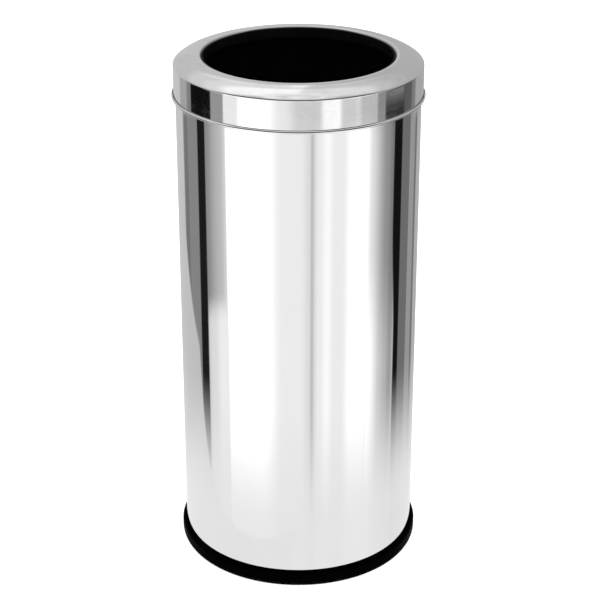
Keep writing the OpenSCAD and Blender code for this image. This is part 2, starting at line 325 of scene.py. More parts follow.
ring_outside += line((ring_r, RING_BELLY_Z), (ring_r, ring_h - RING_TOP_ROUND))
ring_outside += arc((ring_r - RING_TOP_ROUND, ring_h - RING_TOP_ROUND), RING_TOP_ROUND, 0, 90, step=6)

gloss_black, tree, shader = finish_named(
    "gloss_black_moulding", Metallic=0.0, Specular_IOR_Level=0.004, IOR=1.45
)
scuffs = use(tree, rubbed_band, {"From": -0.002, "To": 0.006, "Fade": 0.002, "Grain": 0.004})["Mask"]
dust = use(tree, handling_marks, {"Size": 0.03, "Amount": 0.7})["Mask"]
dusty = mixed(tree, calc(tree, "MULTIPLY", dust, 0.25), 0.0005, 0.002)
surface(
    tree,
    shader,
    mixed(tree, scuffs, dusty, 0.009),
    calc(tree, "MULTIPLY_ADD", scuffs, 0.3, calc(tree, "MULTIPLY_ADD", dust, 0.12, 0.38)),
    use(tree, moulded_grain, {"Size": 0.0012, "Depth": 0.000006})["Height"],
)
make_piece(
    "standing_ring",
    *turned(distinct(ring_outside + ring_inside)),
    gloss_black,
    "bin_body",
    "base_ring",
    slot="gloss_black_moulding",
)

# ---------------------------------------------------------------------------
# Bottom pan.
# Pressed from galvanised sheet, it closes the tube's lower end: a turned-up rim
# inside the tube, a flat land for the screws, and a raised, stiffened middle.
# ---------------------------------------------------------------------------


def across_at(path, i):
    """The way across a path at its point i, as long as a side one millimetre off it needs."""
    last = len(path) - 1
    before = (path[max(i, 1)] - path[max(i, 1) - 1]).normalized()
    after = (path[min(i, last - 1) + 1] - path[min(i, last - 1)]).normalized()
    across = Vector((-before.y, before.x)) + Vector((-after.y, after.x))
    return across / (1 + before.dot(after))


def sheet_outline(path, thickness):
    """The closed outline of a sheet whose middle follows a path of (radius, height)."""
    path = [Vector(p) for p in distinct(path)]
    sides = []
    for i, p in enumerate(path):
        off = across_at(path, i) * thickness / 2
        sides.append((p + off, p - off))
    outline = [tuple(s[0]) for s in sides] + [tuple(s[1]) for s in reversed(sides)]
    return [(max(r, 0.0), z) for r, z in outline]


PAN_SHEET = 1.0
PAN_BEND = 4.0
PAN_RAISE = 6.0
PAN_LAND = 42.0
PAN_SOFT_BEND = 5.0
PAN_SLOPE = 45.0
pan_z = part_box("bottom_pan")[0].z / MM + PAN_SHEET / 2
pan_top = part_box("bottom_pan")[1].z / MM
pan_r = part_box("bottom_pan")[1].x / MM - PAN_SHEET / 2
raised_r = pan_r - PAN_LAND
soft = PAN_SOFT_BEND * math.tan(math.radians(PAN_SLOPE / 2))
top_r = raised_r - PAN_RAISE - soft
pan_path = [(0, pan_z + PAN_RAISE)]
pan_path += line((2, pan_z + PAN_RAISE), (top_r, pan_z + PAN_RAISE))
pan_path += arc((top_r, pan_z + PAN_RAISE - PAN_SOFT_BEND), PAN_SOFT_BEND, 90, 90 - PAN_SLOPE)
pan_path += arc((raised_r + soft, pan_z + PAN_SOFT_BEND), PAN_SOFT_BEND, 270 - PAN_SLOPE, 270)
pan_path += line((raised_r + soft, pan_z), (pan_r - PAN_BEND, pan_z))
pan_path += arc((pan_r - PAN_BEND, pan_z + PAN_BEND), PAN_BEND, -90, 0)
pan_path += line((pan_r, pan_z + PAN_BEND), (pan_r, pan_top))

galvanised, tree, shader = finish_named("galvanised_sheet", Metallic=1.0, Base_Color=0.5)
spangle = put(
    tree, "ShaderNodeTexVoronoi", {"Vector": on_object(tree), "Scale": 130.0, "Randomness": 1.0}
)
tone = put(tree, "ShaderNodeSeparateColor", {"Color": spangle.outputs["Color"]}).outputs[0]
dull = use(tree, handling_marks, {"Size": 0.06, "Amount": 1.0})["Mask"]
crystal = mixed(tree, tone, 0.36, 0.62)
surface(
    tree,
    shader,
    mixed(tree, calc(tree, "MULTIPLY", dull, 0.5), crystal, 0.3),
    calc(tree, "MULTIPLY_ADD", tone, 0.22, 0.3),
    calc(tree, "MULTIPLY", tone, 0.00002),
)
make_piece(
    "closing_pan",
    *turned(sheet_outline(pan_path, PAN_SHEET)),
    galvanised,
    "bin_body",
    "bottom_pan",
    slot="galvanised_sheet",
)

# ---------------------------------------------------------------------------
# Ring screws.
# Zinc-plated pan-head screws with a cross recess, driven up through the ring's
# flange into the pan, so that ring, pan and tube stay together.
# ---------------------------------------------------------------------------
SCREW_COUNT = 6
SCREW_PITCH = 1.41
SCREW_THREAD_DEPTH = 0.5
SCREW_POINT, SCREW_TIP = 2.5, 0.15
SHANK_R = 1.95
THREAD_COLUMNS = 24
THREAD_ROWS_PER_TURN = 6
HEAD_R, HEAD_HIGH = 3.75, 2.3
DOME_R, DOME_TO_R = 5.5, 3.1
RECESS_HALF, RECESS_WIDE, RECESS_DEEP = 2.2, 1.0, 1.0
screw_low, screw_high = (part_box("base_ring_screws")[i].z / MM for i in (0, 1))
screw_ring_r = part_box("base_ring_screws")[1].x / MM - HEAD_R
shank_long = screw_high - screw_low - HEAD_HIGH


def skinned(rows):
    """Points and faces of a bar with closed ends, from its rows of points."""
    columns = len(rows[0])
    points = [p for row in rows for p in row]
    faces = []
    for i in range(len(rows) - 1):
        for j in range(columns):
            here, beside = i * columns + j, i * columns + (j + 1) % columns
            faces.append((here, beside, beside + columns, here + columns))
    faces.append(tuple(range(columns)))
    faces.append(tuple(range(len(points) - columns, len(points))))
    return points, faces


def together(parts):
    """Several lots of points and faces as one."""
    points, faces = [], []
    for some_points, some_faces in parts:
        faces += [tuple(i + len(points) for i in face) for face in some_faces]
        points += some_points
    return points, faces


def moved(part, matrix):
    """A lot of points and faces, with its points moved by a matrix."""
    return [tuple(matrix @ Vector(p)) for p in part[0]], part[1]


def cut_by(part, cutter):
    """A lot of points and faces with another cut out of it."""
    holders = [placed("work", meshed("work", *lot)) for lot in (part, cutter)]
    modifier = holders[0].modifiers.new("cut", "BOOLEAN")
    modifier.operation, modifier.solver, modifier.object = "DIFFERENCE", "EXACT", holders[1]
    shaped = holders[0].evaluated_get(bpy.context.evaluated_depsgraph_get()).to_mesh()
    result = [tuple(v.co) for v in shaped.vertices], [tuple(p.vertices) for p in shaped.polygons]
    for holder in holders:
        bpy.data.objects.remove(holder)
    return result


def block(low, high):
    """The points and faces of a plain block, used for cutting."""
    xs, ys, zs = zip(low, high)
    corners = [(x, y, z) for x in xs for y in ys for z in zs]
    faces = [(0, 1, 3, 2), (4, 5, 7, 6), (0, 1, 5, 4), (2, 3, 7, 6), (0, 2, 6, 4), (1, 3, 7, 5)]
    return corners, faces


def turn_of(profile, columns):
    """A small part turned about its own upright axis, from a profile of (radius, height)."""
    angles = [2 * math.pi * j / columns for j in range(columns)]
    return skinned([[(r * math.cos(a), r * math.sin(a), z) for a in angles] for r, z in profile])


dome_low = DOME_R - math.sqrt(DOME_R**2 - DOME_TO_R**2)
head_profile = [(0.3, 0.0), (1.2, 0.13), (2.2, 0.45), (3.0, dome_low), (3.5, 1.3), (3.7, 1.65)]
head_profile += [(HEAD_R, 1.9), (3.72, 2.1), (3.6, 2.22), (3.4, HEAD_HIGH), (SHANK_R, HEAD_HIGH)]
screw_head = turn_of(head_profile, 36)
# One arm of the cross is a hair shallower, so that the two cuts don't end in the same plane.
for half_x, half_y, deep in (
    (RECESS_HALF, RECESS_WIDE / 2, RECESS_DEEP),
    (RECESS_WIDE / 2, RECESS_HALF, RECESS_DEEP * 0.999),
):
    screw_head = cut_by(screw_head, block((-half_x, -half_y, -1), (half_x, half_y, deep)))
thread_rows = math.ceil(shank_long / SCREW_PITCH * THREAD_ROWS_PER_TURN)


def thread_row(i):
    """One level of the threaded shank: the ridge winds round it, and the tip draws in."""
    along = shank_long * i / (thread_rows - 1)
    full = SCREW_TIP + (1 - SCREW_TIP) * min(1.0, (shank_long - along) / SCREW_POINT)
    row = []
    for j in range(THREAD_COLUMNS):
        phase = (along / SCREW_PITCH - j / THREAD_COLUMNS) % 1
        r = (SHANK_R - SCREW_THREAD_DEPTH * abs(2 * phase - 1)) * full
        a = 2 * math.pi * j / THREAD_COLUMNS
        row.append((r * math.cos(a), r * math.sin(a), HEAD_HIGH + along))
    return row


one_screw = together([screw_head, skinned([thread_row(i) for i in range(thread_rows)])])
screws = [
    moved(
        one_screw,
        Matrix.Rotation(2 * math.pi * i / SCREW_COUNT, 4, "Z")
        @ Matrix.Translation((screw_ring_r, 0, screw_low))
        @ Matrix.Rotation(0.7 * i, 4, "Z"),
    )
    for i in range(SCREW_COUNT)
]
zinc, tree, shader = finish_named("zinc_screws", Metallic=1.0)
tarnish = use(tree, handling_marks, {"Size": 0.004, "Amount": 1.0})["Mask"]
surface(
    tree,
    shader,
    mixed(tree, tarnish, (0.62, 0.61, 0.57), (0.34, 0.34, 0.33)),
    calc(tree, "MULTIPLY_ADD", tarnish, 0.25, 0.24),
    use(tree, moulded_grain, {"Size": 0.0004, "Depth": 0.000004})["Height"],
)
make_piece("ring_screws", *together(screws), zinc, "bin_body", "base_ring_screws", slot="zinc_screws")

# ---------------------------------------------------------------------------
# Tube.
# Stainless sheet rolled round, butt-welded up the back, ground and mirror polished.
# Its top edge is rolled in to a hem, which carries the bucket and, through it, the lid.
# ---------------------------------------------------------------------------
SHEET = 0.8
HEM_D = 4.2
HEM_TURN = 285
WELD_AT = 90.0
WELD_HALF = 0.9
WELD_RISE = 0.05
tube_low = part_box("body_shell")[0].z / MM
tube_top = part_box("body_shell")[1].z / MM
tube_mid = tube_r - SHEET / 2
hem_mid = (HEM_D - SHEET) / 2
hem_at = (tube_mid - hem_mid, tube_top - HEM_D / 2)
tube_path = line((tube_mid, tube_low), (tube_mid, hem_at[1]))
tube_path += arc(hem_at, hem_mid, 0, HEM_TURN, step=12)


def swell(off):
    """The height of a soft ridge, from 1 on its middle to 0 at its edges, where off is 1."""
    return math.cos(off * math.pi / 2) ** 2 if abs(off) < 1 else 0.0


def weld(angle, r, z):
    """The ground weld stands a hair proud, in a soft ridge up the back."""
    return WELD_RISE * swell((angle - WELD_AT) / WELD_HALF)


def about_axis(tree):
    """A point's place as X, Y and Z, and its distance from the upright axis."""
    split = put(tree, "ShaderNodeSeparateXYZ", {"Vector": on_object(tree)}).outputs
    flat = put(tree, "ShaderNodeCombineXYZ", {"X": split["X"], "Y": split["Y"]}).outputs[0]
    return split, put(tree, "ShaderNodeVectorMath", {0: flat}, operation="LENGTH").outputs["Value"]


# Sheet waves: the slow unevenness of rolled and spun sheet, seen in what it reflects.
sheet_waves, given, out = effect("sheet_waves", {"Size": 0.08, "Depth": 0.00003}, ["Height"])
density = calc(sheet_waves, "DIVIDE", 1.0, given["Size"])
slow = noise(sheet_waves, on_object(sheet_waves), density, Detail=1.0, Roughness=0.4)
sheet_waves.links.new(calc(sheet_waves, "MULTIPLY", slow, given["Depth"]), out["Height"])

# Turning lines: faint rings about the upright axis, left by spinning and by polishing mops.
turning_lines, given, out = effect(
    "turning_lines", {"Pitch": 0.001, "Depth": 0.000001}, ["Height", "Mask"]
)
split, from_axis = about_axis(turning_lines)
along = put(
    turning_lines,
    "ShaderNodeCombineXYZ",
    {
        "X": calc(turning_lines, "DIVIDE", from_axis, given["Pitch"]),
        "Y": calc(turning_lines, "DIVIDE", split["Z"], given["Pitch"]),
        "Z": calc(turning_lines, "MULTIPLY", calc(turning_lines, "ARCTAN2", split["X"], split["Y"]), 0.6),
    },
).outputs[0]
rings = noise(turning_lines, along, 1.0, Detail=3.0, Roughness=0.7)
turning_lines.links.new(calc(turning_lines, "MULTIPLY", rings, given["Depth"]), out["Height"])
turning_lines.links.new(ranged(turning_lines, rings, 0.42, 0.66), out["Mask"])

mirror_steel, tree, shader = finish_named("polished_steel_tube", Metallic=1.0)
wiped = use(tree, handling_marks, {"Size": 0.11, "Amount": 1.0})["Mask"]
mopped = use(tree, turning_lines, {"Pitch": 0.0016, "Depth": 0.0000002})
waves = use(tree, sheet_waves, {"Size": 0.16, "Depth": 0.00012})["Height"]
rough = calc(tree, "MULTIPLY_ADD", wiped, 0.035, 0.03)
surface(
    tree,
    shader,
    mixed(tree, calc(tree, "MULTIPLY", wiped, 0.6), 0.82, 0.79),
    calc(tree, "MULTIPLY_ADD", mopped["Mask"], 0.012, rough),
    calc(tree, "ADD", waves, mopped["Height"]),
)
make_piece(
    "polished_tube",
    *turned(
        sheet_outline(tube_path, SHEET),
        press=weld,
        also=[WELD_AT + WELD_HALF * k / 4 for k in range(-4, 5)],
    ),
    mirror_steel,
    "bin_body",
    "body_shell",
    slot="polished_steel",
)

# ---------------------------------------------------------------------------
# Bucket wall.
# Black-painted sheet, lock-seamed up the back, slightly tapered, with two swaged
# ribs. Its rim is rolled round a wire and its lower edge grips the bottom disc.
# ---------------------------------------------------------------------------
BUCKET_SHEET = 0.8
BUCKET_TAPER = 8.0
SEAM_MID = 1.0
SEAM_HIGH = 6.0
RIM_TURN = 300
RIM_MID = 2.5
RIB_HEIGHTS = (0.2, 0.82)
RIB_OUT, RIB_LONG, RIB_STEPS = 1.2, 7.0, 14
LOCK_AT, LOCK_HALF, LOCK_RISE = 90.0, 1.9, 0.9
wall_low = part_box("bucket_wall")[0].z / MM
wall_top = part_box("bucket_wall")[1].z / MM
rim_out = RIM_MID + BUCKET_SHEET / 2
rim_at = (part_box("bucket_wall")[1].x / MM - rim_out, wall_top - rim_out)
wall_r = rim_at[0] - RIM_MID
low_r = wall_r - BUCKET_TAPER
bend_z = wall_low + BUCKET_SHEET / 2 + SEAM_MID


def wall_mid(z):
    """The radius of the tapered wall's middle at a height."""
    return low_r + BUCKET_TAPER * (z - wall_low) / (rim_at[1] - wall_low)


wall_path = line((low_r - 2 * SEAM_MID, wall_low + SEAM_HIGH), (low_r - 2 * SEAM_MID, bend_z))
wall_path += arc((low_r - SEAM_MID, bend_z), SEAM_MID, 180, 360, step=15)
ribs_at = [wall_low + share * (rim_at[1] - wall_low) for share in RIB_HEIGHTS]
stations = [wall_low + 4]
for middle in ribs_at:
    stations += [middle + RIB_LONG * (2 * k / RIB_STEPS - 1) for k in range(RIB_STEPS + 1)]
stations += [rim_at[1] - 4, rim_at[1] - 0.3]
for z in stations:
    out_by = RIB_OUT * sum(swell((z - middle) / RIB_LONG) for middle in ribs_at)
    wall_path.append((wall_mid(z) + out_by, z))
wall_path += arc(rim_at, RIM_MID, 180, 180 - RIM_TURN, step=10)


def lock_seam(angle, r, z):
    """The folded seam stands out on the wall's outer face only."""
    off = abs(angle - LOCK_AT)
    if off > LOCK_HALF or not wall_low + 8 < z < rim_at[1] - 3 or r < wall_mid(z) + 0.1:
        return 0.0
    return LOCK_RISE


black_paint, tree, shader = finish_named("black_paint", Metallic=0.0, Specular_IOR_Level=0.12)
worn = use(tree, rubbed_band, {"From": 0.6445, "To": 0.66, "Fade": 0.0015, "Grain": 0.003})["Mask"]
scratch = use(tree, handling_marks, {"Size": 0.02, "Amount": 1.0})["Mask"]
painted = mixed(tree, calc(tree, "MULTIPLY", scratch, 0.5), 0.0022, 0.005)
peel = use(tree, moulded_grain, {"Size": 0.0022, "Depth": 0.00003})["Height"]
rolled = use(tree, sheet_waves, {"Size": 0.05, "Depth": 0.0001})["Height"]
surface(
    tree,
    shader,
    mixed(tree, calc(tree, "MULTIPLY", worn, 0.6), painted, 0.09),
    calc(tree, "MULTIPLY_ADD", scratch, 0.2, 0.5),
    calc(tree, "ADD", peel, rolled),
)
lock_edges = [LOCK_AT + side * (LOCK_HALF + step) for side in (-1, 1) for step in (0.0, 0.12)]
make_piece(
    "bucket_side",
    *turned(sheet_outline(wall_path, BUCKET_SHEET), press=lock_seam, also=lock_edges),
    black_paint,
    "bucket",
    "bucket_wall",
    slot="black_paint",
)

# ---------------------------------------------------------------------------
# Bucket bottom.
# A disc pressed from the same sheet, with a stiffening ring. Its turned-down edge
# is folded into the seam at the wall's lower edge, so the bucket stands on the seam.
# ---------------------------------------------------------------------------
BOTTOM_BEND = 4.0
STEP_R, STEP_HIGH, STEP_LONG, STEP_POINTS = 95.0, 1.6, 6.0, 16
disc_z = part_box("bucket_bottom")[1].z / MM - BUCKET_SHEET / 2
disc_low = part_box("bucket_bottom")[0].z / MM
edge_r = low_r - SEAM_MID
bottom_path = line((edge_r, disc_low), (edge_r, disc_z - BOTTOM_BEND))
bottom_path += arc((edge_r - BOTTOM_BEND, disc_z - BOTTOM_BEND), BOTTOM_BEND, 0, 90)
bottom_path += line((edge_r - BOTTOM_BEND, disc_z), (STEP_R + STEP_LONG, disc_z))
for k in range(1, STEP_POINTS):
    t = k / STEP_POINTS
    drop = STEP_HIGH * (1 - math.cos(t * math.pi)) / 2
    bottom_path.append((STEP_R + STEP_LONG * (1 - 2 * t), disc_z - drop))
bottom_path += line((STEP_R - STEP_LONG, disc_z - STEP_HIGH), (2, disc_z - STEP_HIGH))
bottom_path.append((0, disc_z - STEP_HIGH))
make_piece(
    "bucket_disc",
    *turned(sheet_outline(bottom_path, BUCKET_SHEET)),
    black_paint,
    "bucket",
    "bucket_bottom",
    slot="black_paint",
)

# ---------------------------------------------------------------------------
# Rim wire.
# Drawn steel wire that the bucket's rim is rolled round. It lies inside the roll,
# so its CAD piece stays as it is and only takes the finish of drawn wire.
# ---------------------------------------------------------------------------
drawn_wire, tree, shader = finish_named("steel_wire", Metallic=1.0)
dulled = use(tree, handling_marks, {"Size": 0.012, "Amount": 1.0})["Mask"]
drawn = use(tree, turning_lines, {"Pitch": 0.0004, "Depth": 0.000002})
rough = calc(tree, "MULTIPLY_ADD", drawn["Mask"], 0.12, 0.26)
surface(
    tree,
    shader,
    mixed(tree, dulled, 0.5, 0.3),
    calc(tree, "MULTIPLY_ADD", dulled, 0.1, rough),
    drawn["Height"],
)
rim_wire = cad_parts["bucket_rim_wire"]
rim_wire.data.materials.clear()
rim_wire.data.materials.append(drawn_wire)

# ---------------------------------------------------------------------------
# Ears.
# One on each side inside the bucket: strip steel pressed to a bridge, with two feet
# riveted to the wall, a hole for the bail's end, and a shelf that the bail rests on.
# ---------------------------------------------------------------------------
EAR_SHEET = 2.0
EAR_WIDE = 22.0
EAR_BEND = 1.4
EAR_CORNER = 4.0
EAR_FOOT = 14.0
EAR_STAND = 8.0
EAR_GAP = 0.3
EAR_EDGE = 0.35
EAR_HOLE_GAP = 0.15
FOOT_STEPS = 24
SHELF_WIDE, SHELF_THICK, SHELF_ROUND = 5.0, 2.0, 0.6
SHELF_IN, SHELF_GAP = 0.1, 0.3
BAIL_R = 2.0
bail_z = (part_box("bail_wire")[0].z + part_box("bail_wire")[1].z) / 2 / MM
ear_low, ear_high = (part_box("bucket_ear_right")[i].z / MM for i in (0, 1))
shelf_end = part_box("bucket_ear_right")[0].x / MM
foot_out = wall_mid(ear_low) - BUCKET_SHEET / 2 - EAR_GAP
foot_in = foot_out - EAR_SHEET
ear_x = foot_in - EAR_STAND
foot_mid = foot_in + EAR_SHEET / 2
bridge_x = ear_x + EAR_SHEET / 2
bridge_half = (EAR_WIDE - EAR_SHEET) / 2
foot_to = math.degrees(math.asin((EAR_WIDE / 2 + EAR_FOOT) / foot_in))
foot_from = math.degrees(math.asin((bridge_half + EAR_BEND) / foot_mid))
half_path = [(bridge_x, 0.0), (bridge_x, bridge_half - EAR_BEND - 0.3)]
half_path += arc((bridge_x + EAR_BEND, bridge_half - EAR_BEND), EAR_BEND, 180, 90, step=15)
corner_x = math.sqrt(foot_mid**2 - (bridge_half + EAR_BEND) ** 2) - EAR_BEND
half_path += arc((corner_x, bridge_half + EAR_BEND), EAR_BEND, -90, 0, step=15)
for k in range(1, FOOT_STEPS + 1):
    a = math.radians(foot_from + (foot_to - foot_from) * k / FOOT_STEPS)
    half_path.append((foot_mid * math.cos(a), foot_mid * math.sin(a)))
ear_path = [Vector((x, -y)) for x, y in reversed(distinct(half_path)[1:])]
ear_path += [Vector(p) for p in distinct(half_path)]
run = [0.0]
for a, b in zip(ear_path, ear_path[1:]):
    run.append(run[-1] + (b - a).length)


def round_off(to_end, radius):
    """How far an edge draws in near an end that is rounded by a radius."""
    if to_end >= radius:
        return 0.0
    return radius - math.sqrt(max(0.0, radius**2 - (radius - to_end) ** 2))


def ear_row(i):
    """One row of the ear's strip: four blunted corners, drawn in near the ends of the feet."""
    pull = round_off(min(run[i], run[-1] - run[i]), EAR_CORNER)
    off = across_at(ear_path, i) * EAR_SHEET / 2
    low, high = ear_low + pull, ear_high - pull
    corners = []
    for side, z, toward in ((1, low, 1), (1, high, -1), (-1, high, -1), (-1, low, 1)):
        edge = ear_path[i] + off * side
        inner = ear_path[i] + off * side * (1 - EAR_EDGE)
        first, second = (edge.x, edge.y, z + toward * EAR_EDGE), (inner.x, inner.y, z)
        corners += [second, first] if side == toward else [first, second]
    return corners


def shrunk(section, middle, share):
    """A section drawn in toward its middle to a share of its size."""
    return [tuple(m + (at - m) * share for at, m in zip(point, middle)) for point in section]


hole = moved(
    turn_of([(BAIL_R + EAR_HOLE_GAP, -3 * EAR_SHEET), (BAIL_R + EAR_HOLE_GAP, 3 * EAR_SHEET)], 32),
    Matrix.Translation((bridge_x, 0, bail_z)) @ Matrix.Rotation(math.pi / 2, 4, "Y"),
)
ear_strip = cut_by(skinned([ear_row(i) for i in range(len(ear_path))]), hole)
shelf_top = bail_z - BAIL_R - SHELF_GAP
shelf_section = rounded(
    [
        (-EAR_WIDE / 2 + SHELF_IN, shelf_top - SHELF_THICK),
        (-EAR_WIDE / 2 + SHELF_WIDE, shelf_top - SHELF_THICK),
        (-EAR_WIDE / 2 + SHELF_WIDE, shelf_top),
        (-EAR_WIDE / 2 + SHELF_IN, shelf_top),
    ],
    SHELF_ROUND,
)
shelf_middle = (-EAR_WIDE / 2 + SHELF_WIDE / 2, shelf_top - SHELF_THICK / 2)
shelf_stations = [(shelf_end, 0.72), (shelf_end + 0.15, 0.86), (shelf_end + 0.6, 1.0)]
shelf_stations.append((ear_x + EAR_SHEET / 2, 1.0))
ear_shelf = skinned(
    [[(x, y, z) for y, z in shrunk(shelf_section, shelf_middle, full)] for x, full in shelf_stations]
)
for side, flip in (("right", 1), ("left", -1)):
    make_piece(
        "ear_" + side,
        *moved(together([ear_strip, ear_shelf]), Matrix.Diagonal((flip, 1, 1, 1))),
        black_paint,
        "bucket",
        "bucket_ear_" + side,
        slot="black_paint",
    )

# ---------------------------------------------------------------------------
# Ear rivets.
# Soft steel rivets, two to an ear, closed through the foot and the bucket's wall
# with a low domed head on each side.
# ---------------------------------------------------------------------------
RIVET_R, RIVET_HEAD_R, RIVET_HEAD_HIGH, RIVET_GAP = 2.0, 3.5, 1.0, 0.1
rivet_in = foot_in - RIVET_GAP
rivet_out = wall_mid(bail_z) + BUCKET_SHEET / 2 + RIVET_GAP
rivet_angle = math.asin((EAR_WIDE + EAR_FOOT) / 2 / foot_in)
dome = [(0.25, 1.0), (1.2, 0.95), (2.1, 0.78), (2.8, 0.53), (3.25, 0.25), (3.45, 0.1)]
dome.append((RIVET_HEAD_R, 0.0))
rivet_profile = [(r, rivet_in - RIVET_HEAD_HIGH * h) for r, h in dome]
rivet_profile += [(RIVET_R, rivet_in), (RIVET_R, rivet_out)]
rivet_profile += [(r, rivet_out + RIVET_HEAD_HIGH * h) for r, h in reversed(dome)]
rivets = [
    moved(
        turn_of(rivet_profile, 32),
        Matrix.Rotation(side + end * rivet_angle, 4, "Z")
        @ Matrix.Translation((0, 0, bail_z))
        @ Matrix.Rotation(math.pi / 2, 4, "Y"),
    )
    for side in (0, math.pi)
    for end in (-1, 1)
]
rivet_steel, tree, shader = finish_named("rivet_steel", Metallic=1.0)
struck = use(tree, handling_marks, {"Size": 0.005, "Amount": 1.0})["Mask"]
surface(
    tree,
    shader,
    mixed(tree, struck, 0.34, 0.16),
    calc(tree, "MULTIPLY_ADD", struck, 0.25, 0.3),
    use(tree, moulded_grain, {"Size": 0.0016, "Depth": 0.00002})["Height"],
)
make_piece("rivets", *together(rivets), rivet_steel, "bucket", "ear_rivets", slot="rivet_steel")

# ---------------------------------------------------------------------------
# Bail.
# The bucket's carrying handle: drawn wire bent to a half hoop, its ends turned out
# through the ears and upset behind them. It lies on the shelves under the lid.
# ---------------------------------------------------------------------------
BAIL_BEND = 6.0
UPSET_R, UPSET_LONG = 3.2, 1.2
WIRE_COLUMNS = 24
bail_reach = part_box("bail_wire")[1].x / MM
bend_x = ear_x - BAIL_R
hoop_r = bend_x - BAIL_BEND


def swept(path, radii, columns):
    """A round bar along a path at the bail's height, with a radius for each point."""
    path = [Vector(p) for p in path]
    rows = []
    for i, r in enumerate(radii):
        ahead = (path[min(i + 1, len(path) - 1)] - path[max(i - 1, 0)]).normalized()
        across = Vector((ahead.y, -ahead.x))
        row = []
        for j in range(columns):
            a = 2 * math.pi * j / columns
            spot = path[i] + across * r * math.cos(a)
            row.append((spot.x, spot.y, bail_z + r * math.sin(a)))
        rows.append(row)
    return skinned(rows)


upset = [(0.0, 2.6), (0.12, 2.9), (0.35, 3.12), (0.6, UPSET_R), (0.85, 3.12), (1.08, 2.9)]
upset.append((UPSET_LONG, 2.5))
half_bail = [((bail_reach - s, 0.0), r) for s, r in upset]
half_bail += [((bail_reach - UPSET_LONG - 0.02, 0.0), BAIL_R), ((bend_x + 0.4, 0.0), BAIL_R)]
half_bail += [(p, BAIL_R) for p in arc((bend_x, -BAIL_BEND), BAIL_BEND, 90, 180, step=6)]
hoop = [(p, BAIL_R) for p in arc((0, -BAIL_BEND), hoop_r, 0, -180, step=2)]
other_half = [((-p[0], p[1]), r) for p, r in reversed(half_bail[:-1])]
bail_line = half_bail[:-1] + hoop + other_half
make_piece(
    "bail_hoop",
    *swept([p for p, r in bail_line], [r for p, r in bail_line], WIRE_COLUMNS),
    drawn_wire,
    "bail",
    "bail_wire",
    slot="steel_wire",
)

# ---------------------------------------------------------------------------
# Bail grip.
# Black moulded sleeve on the middle of the bail, ribbed so that a wet hand holds it.
# It is slid on before the bail's second end is bent.
# ---------------------------------------------------------------------------
GRIP_RIBS = 13
GRIP_VALLEY = 0.9
GRIP_END = 2.2
GRIP_LONG = 100.0
GRIP_STEPS = 208
GRIP_COLUMNS = 40
grip_r = (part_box("bail_grip")[1].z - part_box("bail_grip")[0].z) / 2 / MM
grip_half = math.degrees(GRIP_LONG / hoop_r / 2)
grip_from, grip_to = -90 - grip_half, -90 + grip_half
grip_line = arc((0, -BAIL_BEND), hoop_r, grip_from, grip_to, step=2 * grip_half / GRIP_STEPS)


def grip_radius(share):
    """The sleeve's radius at a share of its length: ribbed, plain near its rounded ends."""
    to_end = min(share, 1 - share) * GRIP_LONG
    ribbed = to_end > GRIP_LONG / GRIP_RIBS / 2
    valley = GRIP_VALLEY * math.cos(share * GRIP_RIBS * math.pi) ** 2 if ribbed else 0.0
    return grip_r - valley - round_off(to_end, GRIP_END)


grip_radii = [grip_radius(i / (len(grip_line) - 1)) for i in range(len(grip_line))]
satin_black, tree, shader = finish_named("satin_black_moulding", Metallic=0.0, Specular_IOR_Level=0.09)
polish = use(tree, handling_marks, {"Size": 0.025, "Amount": 1.0})["Mask"]
surface(
    tree,
    shader,
    mixed(tree, polish, 0.0035, 0.006),
    calc(tree, "MULTIPLY_ADD", polish, -0.14, 0.5),
    use(tree, moulded_grain, {"Size": 0.0009, "Depth": 0.00002})["Height"],
)
make_piece(
    "grip_sleeve",
    *swept(grip_line, grip_radii, GRIP_COLUMNS),
    satin_black,
    "bail",
    "bail_grip",
    slot="satin_black_moulding",
)

# ---------------------------------------------------------------------------
# Lid ring.
# Spun from stainless sheet: a skirt with a rolled bead round the tube, a shallow
# domed crown, and a lip turned down into the opening. Polished on the lathe.
# ---------------------------------------------------------------------------
BEAD_D = 4.4
BEAD_TURN = 315
SHOULDER_ROUND, LIP_ROUND = 2.5, 2.5
CROWN_RISE, CROWN_DOME = 10.0, 4.0
LIP_DEPTH = 12.0
SKIRT_HIGH = 40.7
SKIRT_GAP = 1.35
BEAD_GAP = 0.35
OPENING_R = 117.7
SKIRT_WAVE, CROWN_WAVE = 0.00006, 0.00016
SKIRT_MARKS, CROWN_MARKS = 0.03, 0.16
SKIRT_ROUGH, CROWN_ROUGH = 0.035, 0.07
# Painted shade: the lip's round is coloured this much darker than the crown's steel.
LIP_SHADE_TONE = 0.4
LIP_DARK_TO, LIP_BRIGHT_FROM = 0.8, 2.3
SKIRT_DRAFT = 0.009
skirt_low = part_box("lid_ring")[0].z / MM
shoulder_z = skirt_low + SKIRT_HIGH
skirt_r = tube_r + SKIRT_GAP + SHEET
skirt_mid = skirt_r - SHEET / 2
bead_mid = (BEAD_D - SHEET) / 2
bead_at = (tube_r + BEAD_GAP + BEAD_D / 2, skirt_low + BEAD_D / 2)
leave = math.degrees(math.acos((skirt_mid - bead_at[0]) / bead_mid))
chord = Vector((OPENING_R - skirt_r, CROWN_RISE))
crown_r = ((chord.length / 2) ** 2 + CROWN_DOME**2) / (2 * CROWN_DOME)
chord_up = Vector((chord.y, -chord.x)).normalized()
crown_at = Vector((skirt_r, shoulder_z)) + chord / 2 + chord_up * (CROWN_DOME - crown_r)


def blend_at(x, r):
    """The centre of a small round, at radius x, that runs smoothly into the crown."""
    return (x, crown_at.y + math.sqrt((crown_r - r) ** 2 - (x - crown_at.x) ** 2))


